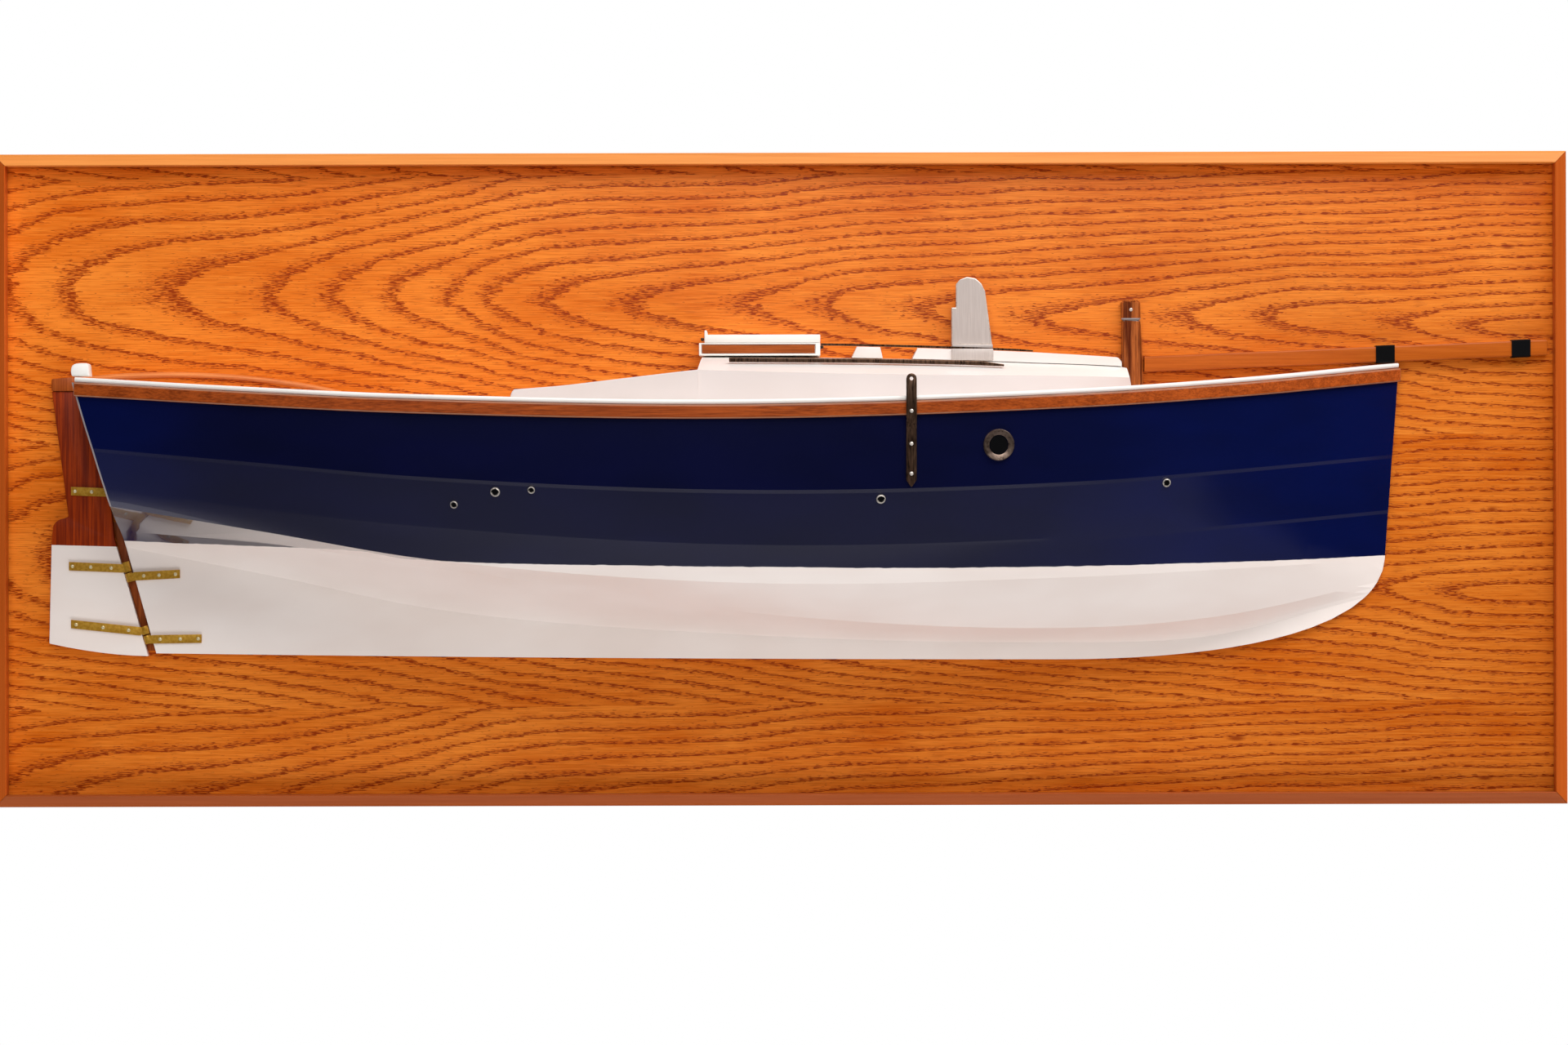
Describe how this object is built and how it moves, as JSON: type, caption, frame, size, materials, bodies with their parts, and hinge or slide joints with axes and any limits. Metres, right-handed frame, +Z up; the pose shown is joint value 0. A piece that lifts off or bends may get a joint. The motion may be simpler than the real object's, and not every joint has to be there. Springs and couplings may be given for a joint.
{
  "type": "ship half hull model",
  "caption": "Builder's half hull model of a small gaff cutter, painted navy over white with varnished wood and brass trim, on a veneered board in a mitred frame, made to hang on a wall",
  "frame": {"origin": "middle of the framed board's back, on the wall", "axes": "+X along the hull towards the bow, +Y into the wall, +Z up"},
  "size_m": [0.7204, 0.1154, 0.2992],
  "materials": {
    "veneer": "satin stained veneer",
    "frame_wood": "satin stained solid wood",
    "varnished_wood": "gloss varnish",
    "navy_paint": "gloss navy paint over carved wood, white satin paint below the waterline",
    "white_paint": "satin white paint over wood",
    "dark_bronze": "dark patina",
    "aluminium": "brushed",
    "black_paint": "matt black",
    "bright_steel": "polished",
    "brass": "satin"
  },
  "bodies": {
    "root": {"backboard": "veneer", "frame_top": "frame_wood", "frame_bottom": "frame_wood", "frame_fore": "frame_wood", "frame_aft": "frame_wood", "hull": "navy_paint", "rubbing_strake": "varnished_wood", "gunwale_rail": "white_paint", "quarter_block": "white_paint", "coachroof": "white_paint", "cockpit_coaming": "white_paint", "companion_hatch": "white_paint", "hatch_panel": "varnished_wood", "hatch_lid": "white_paint", "roof_pad": "white_paint", "fore_trunk": "white_paint", "roof_rail": "dark_bronze", "grab_strip": "dark_bronze", "tabernacle_foot": "aluminium", "tabernacle_plate": "aluminium", "samson_post": "varnished_wood", "post_pin": "bright_steel", "bowsprit": "varnished_wood", "bowsprit_band_inner": "black_paint", "bowsprit_band_outer": "black_paint", "chainplate": "dark_bronze", "chainplate_bolt_1": "bright_steel", "chainplate_bolt_2": "bright_steel", "chainplate_bolt_3": "bright_steel", "hawse_ring": "bright_steel", "hawse_disc": "black_paint", "skin_fitting_1": "bright_steel", "skin_fitting_2": "bright_steel", "skin_fitting_3": "bright_steel", "skin_fitting_4": "bright_steel", "skin_fitting_5": "bright_steel", "rudder": "varnished_wood", "rudder_head": "varnished_wood", "tiller": "varnished_wood", "strap_upper": "brass", "strap_upper_pin_1": "brass", "strap_upper_pin_2": "brass", "strap_middle_rudder": "brass", "strap_middle_rudder_pin_1": "brass", "strap_middle_rudder_pin_2": "brass", "strap_middle_rudder_pin_3": "brass", "strap_middle_hull": "brass", "strap_middle_hull_pin_1": "brass", "strap_middle_hull_pin_2": "brass", "strap_middle_hull_pin_3": "brass", "strap_lower_rudder": "brass", "strap_lower_rudder_pin_1": "brass", "strap_lower_rudder_pin_2": "brass", "strap_lower_rudder_pin_3": "brass", "strap_lower_hull": "brass", "strap_lower_hull_pin_1": "brass", "strap_lower_hull_pin_2": "brass", "strap_lower_hull_pin_3": "brass"}
  },
  "joints": []
}
